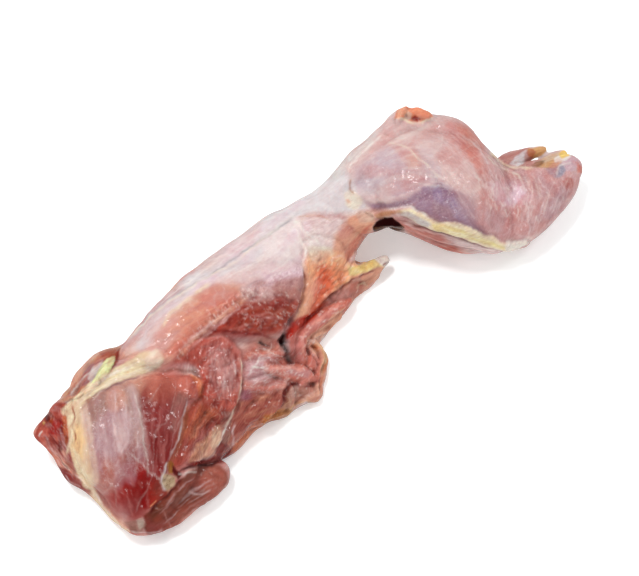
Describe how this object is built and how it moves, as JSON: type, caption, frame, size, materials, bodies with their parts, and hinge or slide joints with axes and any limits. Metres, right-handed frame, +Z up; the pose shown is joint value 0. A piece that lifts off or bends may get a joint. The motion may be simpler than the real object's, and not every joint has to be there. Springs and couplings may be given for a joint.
{
  "type": "whole rabbit",
  "caption": "Whole skinned rabbit for cooking, without head or feet, lying half on its side with the upper legs folded and a cut flap of belly spread out in front.",
  "frame": {"origin": "middle of the box's underside, on the table", "axes": "+X from the neck to the hocks, +Y towards the back, +Z up off the table"},
  "size_m": [0.3944, 0.1722, 0.075],
  "materials": {
    "rabbit": "raw meat under wet clear skin, pale over the back and dark red at the flank"
  },
  "bodies": {
    "root": {"rabbit": "rabbit"}
  },
  "joints": []
}
